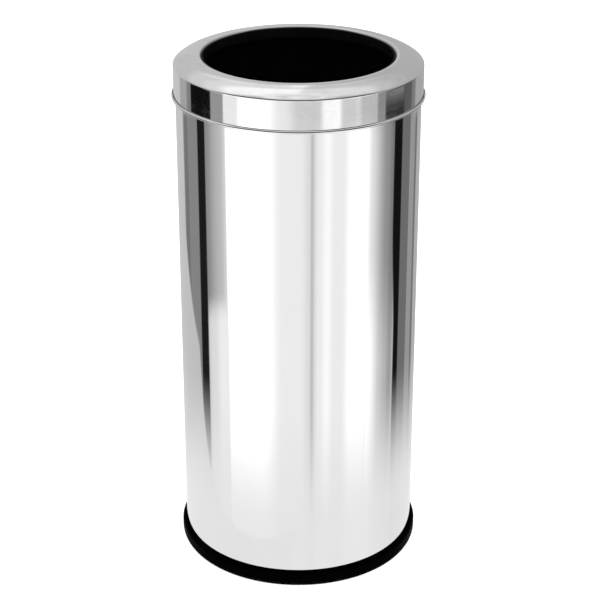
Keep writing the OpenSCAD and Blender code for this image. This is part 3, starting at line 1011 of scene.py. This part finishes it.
shoulder_at = blend_at(skirt_r - SHOULDER_ROUND, SHOULDER_ROUND)
lip_at = blend_at(OPENING_R + LIP_ROUND, LIP_ROUND)
shoulder_angle = math.degrees(math.atan2(shoulder_at[1] - crown_at.y, shoulder_at[0] - crown_at.x))
lip_angle = math.degrees(math.atan2(lip_at[1] - crown_at.y, lip_at[0] - crown_at.x))
lip_low = shoulder_z + CROWN_RISE - LIP_DEPTH
bead_path = arc(bead_at, bead_mid, leave + BEAD_TURN, leave, step=12)
lid_path = bead_path + line(bead_path[-1], (skirt_mid, shoulder_at[1]), longest=8)[1:]
lid_path += arc(shoulder_at, SHOULDER_ROUND - SHEET / 2, 0, shoulder_angle, step=6)
lid_path += arc(tuple(crown_at), crown_r - SHEET / 2, shoulder_angle, lip_angle, step=1.2)
lid_path += arc(lip_at, LIP_ROUND - SHEET / 2, lip_angle, 180, step=7)
lid_path += line((OPENING_R + SHEET / 2, lip_at[1]), (OPENING_R + SHEET / 2, lip_low))

spun_steel, tree, shader = finish_named("polished_steel_lid", Metallic=1.0)
wiped = use(tree, handling_marks, {"Size": 0.045, "Amount": 1.0})["Mask"]
spun = use(tree, turning_lines, {"Pitch": 0.0011, "Depth": 0.0000009})
split, from_axis = about_axis(tree)


def up_the_lid(on_skirt, on_crown):
    """A value that changes round the shoulder, from the skirt's to the crown's."""
    return ranged(
        tree, split["Z"], (shoulder_z - 2.0) * MM, (shoulder_z + 0.5) * MM, on_skirt, on_crown
    )


waves = use(tree, sheet_waves, {"Size": 0.05, "Depth": up_the_lid(SKIRT_WAVE, CROWN_WAVE)})["Height"]
# The lip's round is coloured darker than the crown. This is painted shade where the crown turns down into
# the opening, not a difference in the steel.
lip_painted_shade = ranged(
    tree, from_axis, (OPENING_R + LIP_DARK_TO) * MM, (OPENING_R + LIP_BRIGHT_FROM) * MM, 1.0, 0.0
)
handled = calc(tree, "MULTIPLY", wiped, up_the_lid(SKIRT_MARKS, CROWN_MARKS))
rough = calc(tree, "ADD", handled, up_the_lid(SKIRT_ROUGH, CROWN_ROUGH))
# The skirt is shaded as if it leaned half a degree outward, though its mesh is upright. So it
# mirrors a slightly higher part of the room than the tube does, with cards of its own there.
below = calc(tree, "MINIMUM", split["Z"], shoulder_z * MM)
drafted = calc(tree, "MULTIPLY_ADD", below, -SKIRT_DRAFT, waves)
surface(
    tree,
    shader,
    # Here the lip's round gets its painted shade, a darker colour than the rest of the lid.
    mixed(tree, lip_painted_shade, mixed(tree, wiped, 0.8, 0.72), LIP_SHADE_TONE),
    calc(tree, "MULTIPLY_ADD", spun["Mask"], 0.03, rough),
    calc(tree, "ADD", drafted, spun["Height"]),
)
make_piece(
    "spun_lid",
    *turned(sheet_outline(lid_path, SHEET)),
    spun_steel,
    "lid",
    "lid_ring",
    slot="polished_steel",
)

# ---------------------------------------------------------------------------
# Lid collar.
# A black moulded channel pushed up over the lip, so that its tall inner leg lines
# the opening and no sheet edge is left for a hand to meet.
# ---------------------------------------------------------------------------
COLLAR_WALL = 1.8
COLLAR_OUTER_LEG = 7.0
COLLAR_ROUND = 0.7
COLLAR_GAP = 0.1
collar_low, collar_top = (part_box("lid_collar")[i].z / MM for i in (0, 1))
lining_out = OPENING_R - COLLAR_GAP
back_in = OPENING_R + SHEET + COLLAR_GAP
collar_outline = rounded(
    [
        (lining_out - COLLAR_WALL, collar_low),
        (back_in + COLLAR_WALL, collar_low),
        (back_in + COLLAR_WALL, collar_low + COLLAR_OUTER_LEG),
        (back_in, collar_low + COLLAR_OUTER_LEG),
        (back_in, collar_low + COLLAR_WALL),
        (lining_out, collar_low + COLLAR_WALL),
        (lining_out, collar_top),
        (lining_out - COLLAR_WALL, collar_top),
    ],
    COLLAR_ROUND,
)
make_piece(
    "opening_collar",
    *turned(distinct(collar_outline)),
    satin_black,
    "lid",
    "lid_collar",
    slot="satin_black_moulding",
)

# ---------------------------------------------------------------------------
# Lid buffers.
# Rubber pads bonded under the crown, spaced round it. They sit on the bucket's rim,
# so the lid doesn't ring or slide, and each is moulded to the crown's curve.
# ---------------------------------------------------------------------------
BUFFER_COUNT = 6
BUFFER_LONG, BUFFER_WIDE, BUFFER_ROUND = 18.0, 5.0, 0.6
BUFFER_GAP = 0.1
buffer_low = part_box("lid_buffers")[0].z / MM
buffer_in, buffer_out = rim_at[0] - BUFFER_WIDE / 2, rim_at[0] + BUFFER_WIDE / 2


def under_crown(r):
    """The height of the crown's under side at a radius, less the glue's thickness."""
    return crown_at.y + math.sqrt((crown_r - SHEET) ** 2 - (r - crown_at.x) ** 2) - BUFFER_GAP


buffer_corners = [(buffer_in, buffer_low), (buffer_out, buffer_low)]
buffer_corners += [(buffer_out, under_crown(buffer_out)), (rim_at[0], under_crown(rim_at[0]))]
buffer_corners += [(buffer_in, under_crown(buffer_in))]
buffer_section = rounded(buffer_corners, BUFFER_ROUND)
buffer_middle = (rim_at[0], (buffer_low + under_crown(rim_at[0])) / 2)
buffer_stations = [(0.0, 0.62), (0.15, 0.8), (0.5, 0.94), (1.1, 1.0)]
buffer_stations += [(BUFFER_LONG * k / 12, 1.0) for k in range(1, 12)]
buffer_stations += [(BUFFER_LONG - s, k) for s, k in reversed(buffer_stations[:4])]
buffer_rows = []
for station, full in buffer_stations:
    a = (station - BUFFER_LONG / 2) / rim_at[0]
    section = shrunk(buffer_section, buffer_middle, full)
    buffer_rows.append([(r * math.cos(a), r * math.sin(a), z) for r, z in section])
one_buffer = skinned(buffer_rows)
buffers = [
    moved(one_buffer, Matrix.Rotation(2 * math.pi * i / BUFFER_COUNT, 4, "Z"))
    for i in range(BUFFER_COUNT)
]
rubber, tree, shader = finish_named("buffer_rubber", Metallic=0.0, Specular_IOR_Level=0.2)
bloom = use(tree, handling_marks, {"Size": 0.008, "Amount": 1.0})["Mask"]
surface(
    tree,
    shader,
    mixed(tree, bloom, 0.012, 0.03),
    calc(tree, "MULTIPLY_ADD", bloom, 0.15, 0.7),
    use(tree, moulded_grain, {"Size": 0.0008, "Depth": 0.00004})["Height"],
)
make_piece("rubber_buffers", *together(buffers), rubber, "lid", "lid_buffers", slot="buffer_rubber")

# ---------------------------------------------------------------------------
# Studio: floor, light and camera.
# A plain white floor with a glow of its own, under even white light from all round. Only
# the polished steel shows the rest of the set: a lit sheet of floor near the bin, and beyond
# it soft cards and black flags, each hung at its own direction.
# ---------------------------------------------------------------------------
FLOOR_HALF = 40.0
FLOOR_GLOW = 0.75
FLOOR_MIRRORED, FLOOR_MIRRORED_BEHIND, REAR_MIRRORED = 0.95, 0.8, 0.62
FLOOR_MOST = 0.93
FLOOR_FROM, FLOOR_TO = 0.26, 0.66
SHEET_EDGE, SHEET_EDGE_SLANT = 0.665, 0.29
SHEET_SIDE, SHEET_SIDE_SLANT = 0.295, 0.65
floor_mesh = bpy.data.meshes.new("studio_floor")
work = bmesh.new()
bmesh.ops.create_grid(work, x_segments=8, y_segments=8, size=FLOOR_HALF)
work.to_mesh(floor_mesh)
work.free()
floor = placed("studio_floor", floor_mesh)
floor_finish, tree, shader = finish_named(
    "opal_floor", Base_Color=0.8, Roughness=0.9, Specular_IOR_Level=0.0
)
shader.inputs["Emission Color"].default_value = (1, 1, 1, 1)
shader.inputs["Emission Strength"].default_value = FLOOR_GLOW
# In the steel the floor is a lit sheet that fades out round the bin, and a second sheet that
# lies beyond it at the rear left. Elsewhere the steel sees through it to the walls.
split, from_axis = about_axis(tree)
seen_near = ranged(tree, from_axis, FLOOR_FROM, FLOOR_TO, FLOOR_MOST, 0.0)
behind = calc(tree, "MULTIPLY_ADD", split["X"], SHEET_SIDE_SLANT, split["Y"])
rear_left = calc(
    tree,
    "MULTIPLY",
    ranged(tree, behind, -SHEET_SIDE - 0.01, -SHEET_SIDE + 0.01),
    ranged(tree, split["X"], -0.03, 0.0, 1.0, 0.0),
)
inside_edge = calc(tree, "MULTIPLY_ADD", split["Y"], SHEET_EDGE_SLANT, split["X"])
on_sheet = ranged(tree, inside_edge, -SHEET_EDGE - 0.02, -SHEET_EDGE + 0.02)
rear_sheet = calc(tree, "MULTIPLY", rear_left, on_sheet)
beyond = put(tree, "ShaderNodeBsdfTransparent").outputs[0]
dimmer = ranged(tree, split["Y"], 0.02, 0.3, FLOOR_MIRRORED, FLOOR_MIRRORED_BEHIND)
near = put(tree, "ShaderNodeEmission", {"Strength": dimmer}).outputs[0]
rear = put(tree, "ShaderNodeEmission", {"Strength": REAR_MIRRORED}).outputs[0]
far = put(tree, "ShaderNodeMixShader", {0: rear_sheet, 1: beyond, 2: rear}).outputs[0]
mirrored = put(tree, "ShaderNodeMixShader", {0: seen_near, 1: far, 2: near}).outputs[0]
rays = put(tree, "ShaderNodeLightPath").outputs
whole = put(tree, "ShaderNodeMixShader", {0: rays["Is Glossy Ray"], 1: shader.outputs[0], 2: mirrored})
tree.links.new(whole.outputs[0], tree.nodes["Material Output"].inputs["Surface"])
floor.data.materials.append(floor_finish)

BACKDROP_WHITE, SOFT_LIGHT = 1.0, 1.1
world = bpy.data.worlds.new("studio")
bpy.context.scene.world = world
world.use_nodes = True
tree = world.node_tree
outward = put(tree, "ShaderNodeTexCoord").outputs["Generated"]
heading = put(tree, "ShaderNodeSeparateXYZ", {"Vector": outward}).outputs
to_front = calc(tree, "MULTIPLY", heading["Y"], -1.0)
azimuth = calc(tree, "DEGREES", calc(tree, "ARCTAN2", heading["X"], to_front))
elevation = calc(tree, "DEGREES", calc(tree, "ARCSINE", heading["Z"]))


def blended(value, other, share):
    """A brightness between two, by share."""
    return calc(tree, "MULTIPLY_ADD", calc(tree, "SUBTRACT", other, value), share, value)


def panel(value, start, stop, soft_start, soft_stop, level, where=1.0, lean=0.0):
    """The room's brightness with one more card hung in it, between two azimuths in degrees from
    the front, to the right. Its sides fade over soft_start and soft_stop, where says at which
    heights it hangs, and lean shifts it sideways."""
    at = calc(tree, "SUBTRACT", azimuth, lean)
    rise = ranged(tree, at, start - soft_start / 2, start + soft_start / 2)
    fall = ranged(tree, at, stop - soft_stop / 2, stop + soft_stop / 2, 1.0, 0.0)
    share = calc(tree, "MULTIPLY", calc(tree, "MULTIPLY", rise, fall), where)
    return blended(value, level, share)


# What the tube mirrors: cards over an even wall, each in front of those before it.
walls = 0.64
walls = panel(walls, 100, 190, 4, 4, 0.47)
walls = panel(walls, -137.2, -97, 3.5, 2, 0.275)
walls = panel(walls, -134.5, -127, 2, 4, 0.2)
walls = panel(walls, -97.5, -60, 2, 2, 0.3)
walls = panel(walls, -90, -60, 14, 2, 0.52)
walls = panel(walls, -81, -60, 10, 2, 0.62)
walls = panel(walls, -75.5, -60, 4, 2, 0.76)
walls = panel(walls, -71.8, 106, 2.5, 4, 0.33)
walls = panel(walls, -71.8, 80, 2.5, 26, 1.02)
walls = panel(walls, -71.8, -26, 2.5, 22, 1.5)
walls = panel(walls, 6, 17, 9, 5, 0.86)
walls = panel(walls, 11.4, 14.2, 2.5, 3.5, 0.6)
walls = panel(walls, 23.5, 31, 6, 6, 1.17)
walls = panel(walls, 47, 69.5, 11, 7, 1.33)
walls = panel(walls, 96, 103, 6, 1, 0.24)
# Cards at the foot of the set, which the tube mirrors only in its lower part.
low_card = ranged(tree, elevation, -25.1, -24.1, 1.0, 0.0)
walls = panel(walls, -98, -71.8, 2, 2, 0.76, low_card)
walls = panel(walls, -94, -71.8, 6, 2, 0.86, low_card)
walls = panel(walls, -84, -71.8, 10, 2, 1.03, low_card)
right_foot = ranged(tree, elevation, -26.5, -22.4, 1.0, 0.0)
walls = panel(walls, 70, 106, 4, 2, calc(tree, "MULTIPLY", walls, 1.4), right_foot)
walls = panel(walls, 86, 106, 6, 2, calc(tree, "MULTIPLY", walls, 1.2), right_foot)
# Two black flags, and the cards that stand beside the right one.
flag_lean = ranged(tree, elevation, -25.6, -21.8, 4.4, 0.0)
walls = panel(walls, -108.9, -97.6, 2, 2, 0.013)
walls = panel(walls, 100.9, 114.6, 2, 2, 0.007, lean=flag_lean)
walls = panel(walls, 113.6, 129.5, 2, 3, 0.175)
walls = panel(walls, 129.5, 141, 3, 4, 0.35)
walls = panel(walls, 141, 147.5, 4, 3, 0.19)
# What the lid's skirt mirrors, a little higher than the tube does.
on_skirt = ranged(tree, elevation, -18.55, -18.15)
right_card = ranged(tree, elevation, -17.43, -17.1, 0.03, 0.24)
walls = panel(walls, -137, -122.5, 3, 2, 0.44, on_skirt)
walls = panel(walls, -122.5, -115.3, 2, 1, 0.26, on_skirt)
walls = panel(walls, -115.3, -86.3, 1.2, 3, 0.006, on_skirt)
walls = panel(walls, -86.3, -71.8, 3, 2, 0.36, on_skirt)
walls = panel(walls, -71.8, -56, 2, 6, 1.0, on_skirt)
walls = panel(walls, -6, 21, 12, 8, 0.78, on_skirt)
walls = panel(walls, 22, 38.5, 6, 5, 1.27, on_skirt)
walls = panel(walls, 39, 56, 6, 10, 0.74, on_skirt)
walls = panel(walls, 56, 76, 10, 2, 0.61, on_skirt)
walls = panel(walls, 76, 85.5, 2, 1.5, 0.32, on_skirt)
walls = panel(walls, 85.5, 112, 1.5, 5, right_card, on_skirt)
walls = panel(walls, 112, 126, 5, 5, 0.125, on_skirt)
walls = panel(walls, 126, 134, 5, 4, 0.24, on_skirt)
walls = panel(walls, 134, 170, 4, 8, 0.44, on_skirt)


def upper_wall(left, rear, right, front, reach, strip=178.4):
    """The brightness at one height of the upper walls: on the left, in a narrow strip at the rear,
    on the right, and in front out to the azimuth reach. The rear strip starts at strip."""
    level = panel(left, 0, 190, 40, 2, right)
    level = panel(level, strip, 190, 2, 2, rear)
    level = panel(level, -190, -strip, 2, 2, rear)
    return panel(level, -reach, reach, 30, 30, front)


# What the lid's crown mirrors, from the lowest wall to the ceiling.
upper = upper_wall(0.62, 0.62, 0.5, 0.1, 75)
middle = upper_wall(0.74, 1.22, 0.56, 0.1, 75, strip=177.2)
middle = panel(middle, -179, -163, 1, 12, 0.9)
middle = panel(middle, 168, 179, 10, 1, 0.7)
upper = blended(upper, middle, ranged(tree, elevation, 27.0, 34.0))
upper = blended(upper, upper_wall(0.86, 0.93, 0.66, 0.1, 75), ranged(tree, elevation, 39.0, 45.0))
upper = blended(upper, upper_wall(1.2, 1.12, 0.88, 0.55, 100), ranged(tree, elevation, 49.0, 57.0))
upper = blended(upper, 1.02, ranged(tree, elevation, 70.0, 76.0))
upper = blended(upper, 0.8, ranged(tree, elevation, 79.0, 81.5))
upper = blended(upper, 1.06, ranged(tree, elevation, 84.0, 86.0))
seen = blended(walls, upper, ranged(tree, elevation, -11.0, 0.0))
rays = put(tree, "ShaderNodeLightPath").outputs
seen = blended(seen, BACKDROP_WHITE, rays["Is Camera Ray"])
seen = blended(seen, SOFT_LIGHT, rays["Is Diffuse Ray"])
tree.links.new(seen, tree.nodes["Background"].inputs["Strength"])
tree.nodes["Background"].inputs["Color"].default_value = (1, 1, 1, 1)

CAMERA_LENS, CAMERA_SENSOR = 108.97, 36.0
CAMERA_AT = (-0.0012, -2.1013, 1.2824)
CAMERA_DOWN = 24.27
camera_data = bpy.data.cameras.new("camera")
camera_data.lens, camera_data.sensor_width = CAMERA_LENS, CAMERA_SENSOR
camera = placed("camera", camera_data)
camera.location = CAMERA_AT
camera.rotation_euler = (math.radians(90 - CAMERA_DOWN), 0, 0)
bpy.context.scene.camera = camera
bpy.context.scene.view_settings.view_transform = "Standard"
